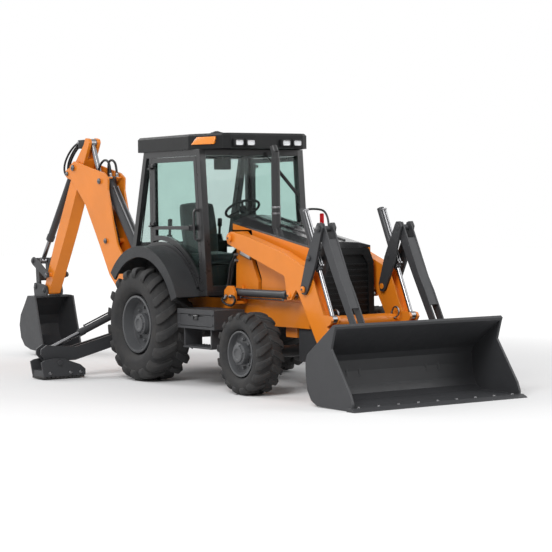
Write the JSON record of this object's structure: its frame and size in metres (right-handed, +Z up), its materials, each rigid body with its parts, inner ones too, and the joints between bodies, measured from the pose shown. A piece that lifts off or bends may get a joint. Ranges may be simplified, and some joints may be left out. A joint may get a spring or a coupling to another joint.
{
  "type": "backhoe loader",
  "caption": "Cab tractor with a front lift-arm bucket, a rear swinging boom, dipper and digging bucket, folding stabiliser legs, and hydraulic cylinders that move with each joint.",
  "frame": {"origin": "on the ground, midway between the digging bucket's back and the loader's cutting edge, on the centre line", "axes": "+X forward to the loader bucket, +Y to the machine's left, +Z up"},
  "size_m": [8.78, 3.66, 2.8761],
  "materials": {
    "orange_paint": "satin",
    "dark_grey_paint": "satin",
    "black_paint": "satin",
    "chrome_rod": "polished",
    "tyre_rubber": "matte",
    "rim_grey": "satin",
    "tinted_glass": "clear",
    "seat_fabric": "matte",
    "control_plastic": "matte",
    "lamp_lens": "glossy",
    "engine_iron": "matte"
  },
  "bodies": {
    "tractor": {"chassis_frame": "orange_paint", "engine_block": "engine_iron", "front_weight": "dark_grey_paint", "rear_frame": "dark_grey_paint", "rear_axle": "black_paint", "front_axle": "black_paint", "steps": "dark_grey_paint", "fenders": "dark_grey_paint", "cab_base": "black_paint", "cab_frame": "black_paint", "cab_roof": "dark_grey_paint", "cab_glass": "tinted_glass", "seat": "seat_fabric", "cab_controls": "control_plastic", "hood_sides": "orange_paint", "hood_top": "dark_grey_paint", "grille": "black_paint", "exhaust": "black_paint", "lamps": "lamp_lens"},
    "rear_wheel_left": {"rear_tyre_left": "tyre_rubber", "rear_rim_left": "rim_grey"},
    "front_wheel_left": {"front_tyre_left": "tyre_rubber", "front_rim_left": "rim_grey"},
    "steering_left": {"knuckle_left": "black_paint"},
    "door_left": {"door_left": "black_paint", "door_glass_left": "tinted_glass"},
    "stabiliser_leg_left": {"stabiliser_leg_left": "dark_grey_paint"},
    "stabiliser_barrel_left": {"stabiliser_barrel_left": "dark_grey_paint"},
    "stabiliser_rod_left": {"stabiliser_rod_left": "chrome_rod"},
    "rear_wheel_right": {"rear_tyre_right": "tyre_rubber", "rear_rim_right": "rim_grey"},
    "front_wheel_right": {"front_tyre_right": "tyre_rubber", "front_rim_right": "rim_grey"},
    "steering_right": {"knuckle_right": "black_paint"},
    "door_right": {"door_right": "black_paint", "door_glass_right": "tinted_glass"},
    "stabiliser_leg_right": {"stabiliser_leg_right": "dark_grey_paint"},
    "stabiliser_barrel_right": {"stabiliser_barrel_right": "dark_grey_paint"},
    "stabiliser_rod_right": {"stabiliser_rod_right": "chrome_rod"},
    "lift_arms": {"lift_arms": "orange_paint"},
    "loader_bucket": {"loader_bucket": "dark_grey_paint"},
    "rear_links": {"rear_links": "dark_grey_paint"},
    "front_links": {"front_links": "dark_grey_paint"},
    "tilt_barrels": {"tilt_barrels": "dark_grey_paint"},
    "tilt_rods": {"tilt_rods": "chrome_rod"},
    "lift_barrels": {"lift_barrels": "dark_grey_paint"},
    "lift_rods": {"lift_rods": "chrome_rod"},
    "swing_tower": {"swing_tower": "orange_paint"},
    "boom": {"boom": "orange_paint"},
    "dipper": {"dipper": "orange_paint"},
    "hoe_bucket": {"hoe_bucket": "dark_grey_paint"},
    "guide_link": {"guide_link": "dark_grey_paint"},
    "bucket_link": {"bucket_link": "dark_grey_paint"},
    "boom_barrel": {"boom_barrel": "dark_grey_paint"},
    "boom_rod": {"boom_rod": "chrome_rod"},
    "dipper_barrel": {"dipper_barrel": "dark_grey_paint"},
    "dipper_rod": {"dipper_rod": "chrome_rod"},
    "curl_barrel": {"curl_barrel": "dark_grey_paint"},
    "curl_rod": {"curl_rod": "chrome_rod"}
  },
  "joints": [
    {"name": "rear_wheel_left_spin", "type": "hinge", "parent": "tractor", "child": "rear_wheel_left", "pos_m": [0.14, 0.83, 0.645], "axis": [0, 1, 0], "continuous": true},
    {"name": "steer_left", "type": "hinge", "parent": "tractor", "child": "steering_left", "pos_m": [2.274, 0.6, 0.43], "axis": [0, 0, 1], "range_deg": [-40, 40]},
    {"name": "front_wheel_left_spin", "type": "hinge", "parent": "steering_left", "child": "front_wheel_left", "pos_m": [2.274, 0.865, 0.43], "axis": [0, 1, 0], "continuous": true},
    {"name": "door_left_open", "type": "hinge", "parent": "tractor", "child": "door_left", "pos_m": [-0.017, 0.715, 1.8], "axis": [0, 0, 1], "range_deg": [0, 85]},
    {"name": "stabiliser_left", "type": "hinge", "parent": "tractor", "child": "stabiliser_leg_left", "pos_m": [-0.79, 0.42, 0.53], "axis": [-1, 0, 0], "range_deg": [-66, 6]},
    {"name": "stabiliser_left_barrel_turn", "type": "hinge", "parent": "tractor", "child": "stabiliser_barrel_left", "pos_m": [-0.79, 0.4, 0.87], "axis": [1, 0, 0], "range_deg": [-5.99, 65.37]},
    {"name": "stabiliser_left_rod_slide", "type": "slide", "parent": "stabiliser_barrel_left", "child": "stabiliser_rod_left", "axis": [0, 0.9231, -0.3846], "range_m": [-0.37469, 0.03415]},
    {"name": "rear_wheel_right_spin", "type": "hinge", "parent": "tractor", "child": "rear_wheel_right", "pos_m": [0.14, -0.83, 0.645], "axis": [0, 1, 0], "continuous": true},
    {"name": "steer_right", "type": "hinge", "parent": "tractor", "child": "steering_right", "pos_m": [2.274, -0.6, 0.43], "axis": [0, 0, 1], "range_deg": [-40, 40]},
    {"name": "front_wheel_right_spin", "type": "hinge", "parent": "steering_right", "child": "front_wheel_right", "pos_m": [2.274, -0.865, 0.43], "axis": [0, 1, 0], "continuous": true},
    {"name": "door_right_open", "type": "hinge", "parent": "tractor", "child": "door_right", "pos_m": [-0.017, -0.715, 1.8], "axis": [0, 0, -1], "range_deg": [0, 85]},
    {"name": "stabiliser_right", "type": "hinge", "parent": "tractor", "child": "stabiliser_leg_right", "pos_m": [-0.79, -0.42, 0.53], "axis": [1, 0, 0], "range_deg": [-66, 6]},
    {"name": "stabiliser_right_barrel_turn", "type": "hinge", "parent": "tractor", "child": "stabiliser_barrel_right", "pos_m": [-0.79, -0.4, 0.87], "axis": [-1, 0, 0], "range_deg": [-5.99, 65.37]},
    {"name": "stabiliser_right_rod_slide", "type": "slide", "parent": "stabiliser_barrel_right", "child": "stabiliser_rod_right", "axis": [0, -0.9231, -0.3846], "range_m": [-0.37469, 0.03415]},
    {"name": "loader_lift", "type": "hinge", "parent": "tractor", "child": "lift_arms", "pos_m": [1.44, 0, 1.62], "axis": [0, -1, 0], "range_deg": [-3, 80]},
    {"name": "lift_barrel_turn", "type": "hinge", "parent": "tractor", "child": "lift_barrels", "pos_m": [1.44, 0, 1.03], "axis": [0, -1, 0], "range_deg": [-2.55, 66.71]},
    {"name": "lift_rod_slide", "type": "slide", "parent": "lift_barrels", "child": "lift_rods", "axis": [1, 0, 0], "range_m": [-0.02636, 0.70029]},
    {"name": "loader_tilt", "type": "hinge", "parent": "lift_arms", "child": "loader_bucket", "pos_m": [3.425, 0, 0.285], "axis": [0, -1, 0], "range_deg": [-115, 40]},
    {"name": "rear_link_turn", "type": "hinge", "parent": "lift_arms", "child": "rear_links", "pos_m": [2.87, 0, 1.103], "axis": [0, -1, 0], "range_deg": [-88.13, 30.69]},
    {"name": "front_link_turn", "type": "hinge", "parent": "rear_links", "child": "front_links", "pos_m": [3.15, 0, 1.722], "axis": [0, -1, 0], "range_deg": [-25.86, 74.26]},
    {"name": "tilt_barrel_turn", "type": "hinge", "parent": "rear_links", "child": "tilt_barrels", "pos_m": [2.974, 0, 1.423], "axis": [0, -1, 0], "range_deg": [-24.86, 71.38]},
    {"name": "tilt_rod_slide", "type": "slide", "parent": "tilt_barrels", "child": "tilt_rods", "axis": [0.4222, 0, -0.9065], "range_m": [-0.44721, 0.15562]},
    {"name": "hoe_swing", "type": "hinge", "parent": "tractor", "child": "swing_tower", "pos_m": [-1.14, 0, 0.64], "axis": [0, 0, 1], "range_deg": [-90, 90]},
    {"name": "boom_lift", "type": "hinge", "parent": "swing_tower", "child": "boom", "pos_m": [-1.42, 0, 0.64], "axis": [0, 1, 0], "range_deg": [-90, 33]},
    {"name": "boom_barrel_turn", "type": "hinge", "parent": "boom", "child": "boom_barrel", "pos_m": [-2.32, 0, 2.313], "axis": [0, -1, 0], "range_deg": [-0.76, 0.31]},
    {"name": "boom_rod_slide", "type": "slide", "parent": "boom_barrel", "child": "boom_rod", "axis": [0.6459, 0, -0.7635], "range_m": [-0.23318, 0.63576]},
    {"name": "dipper_crowd", "type": "hinge", "parent": "boom", "child": "dipper", "pos_m": [-3.036, 0, 2.5], "axis": [0, -1, 0], "range_deg": [-70, 38]},
    {"name": "dipper_barrel_turn", "type": "hinge", "parent": "boom", "child": "dipper_barrel", "pos_m": [-2.175, 0, 1.555], "axis": [0, -1, 0], "range_deg": [-0.232, 0.386]},
    {"name": "dipper_rod_slide", "type": "slide", "parent": "dipper_barrel", "child": "dipper_rod", "axis": [-0.4169, 0, 0.9089], "range_m": [-0.47401, 0.25737]},
    {"name": "hoe_bucket_curl", "type": "hinge", "parent": "dipper", "child": "hoe_bucket", "pos_m": [-3.96, 0, 0.88], "axis": [0, -1, 0], "range_deg": [-70, 90]},
    {"name": "guide_link_turn", "type": "hinge", "parent": "dipper", "child": "guide_link", "pos_m": [-3.835, 0, 1.085], "axis": [0, -1, 0], "range_deg": [-45.07, 57.93]},
    {"name": "bucket_link_turn", "type": "hinge", "parent": "guide_link", "child": "bucket_link", "pos_m": [-4.24, 0, 1.27], "axis": [0, -1, 0], "range_deg": [-31.36, 24.41]},
    {"name": "curl_barrel_turn", "type": "hinge", "parent": "dipper", "child": "curl_barrel", "pos_m": [-3.31, 0, 2.43], "axis": [0, -1, 0], "range_deg": [-4.01, 5.14]},
    {"name": "curl_rod_slide", "type": "slide", "parent": "curl_barrel", "child": "curl_rod", "axis": [-0.6255, 0, -0.7802], "range_m": [-0.30038, 0.38617]}
  ],
  "couplings": [
    {"joint": "stabiliser_left_barrel_turn", "follows": "stabiliser_left", "ratio": -0.98967},
    {"joint": "stabiliser_left_rod_slide", "follows": "stabiliser_left", "m_per_rad": 0.32519},
    {"joint": "stabiliser_right_barrel_turn", "follows": "stabiliser_right", "ratio": -0.98967},
    {"joint": "stabiliser_right_rod_slide", "follows": "stabiliser_right", "m_per_rad": 0.32519},
    {"joint": "steer_right", "follows": "steer_left", "ratio": 1},
    {"joint": "lift_barrel_turn", "follows": "loader_lift", "ratio": 0.83328},
    {"joint": "lift_rod_slide", "follows": "loader_lift", "m_per_rad": 0.50148},
    {"joint": "rear_link_turn", "follows": "loader_tilt", "ratio": 0.76591},
    {"joint": "front_link_turn", "follows": "loader_tilt", "ratio": -0.64532},
    {"joint": "tilt_barrel_turn", "follows": "loader_tilt", "ratio": -0.62029},
    {"joint": "tilt_rod_slide", "follows": "loader_tilt", "m_per_rad": 0.22276},
    {"joint": "boom_barrel_turn", "follows": "boom_lift", "ratio": 0.0079},
    {"joint": "boom_rod_slide", "follows": "boom_lift", "m_per_rad": -0.40468},
    {"joint": "dipper_barrel_turn", "follows": "dipper_crowd", "ratio": -0.0048},
    {"joint": "dipper_rod_slide", "follows": "dipper_crowd", "m_per_rad": 0.3879},
    {"joint": "guide_link_turn", "follows": "hoe_bucket_curl", "ratio": 0.64313},
    {"joint": "bucket_link_turn", "follows": "hoe_bucket_curl", "ratio": -0.34793},
    {"joint": "curl_barrel_turn", "follows": "hoe_bucket_curl", "ratio": 0.05652},
    {"joint": "curl_rod_slide", "follows": "hoe_bucket_curl", "m_per_rad": 0.24578}
  ]
}
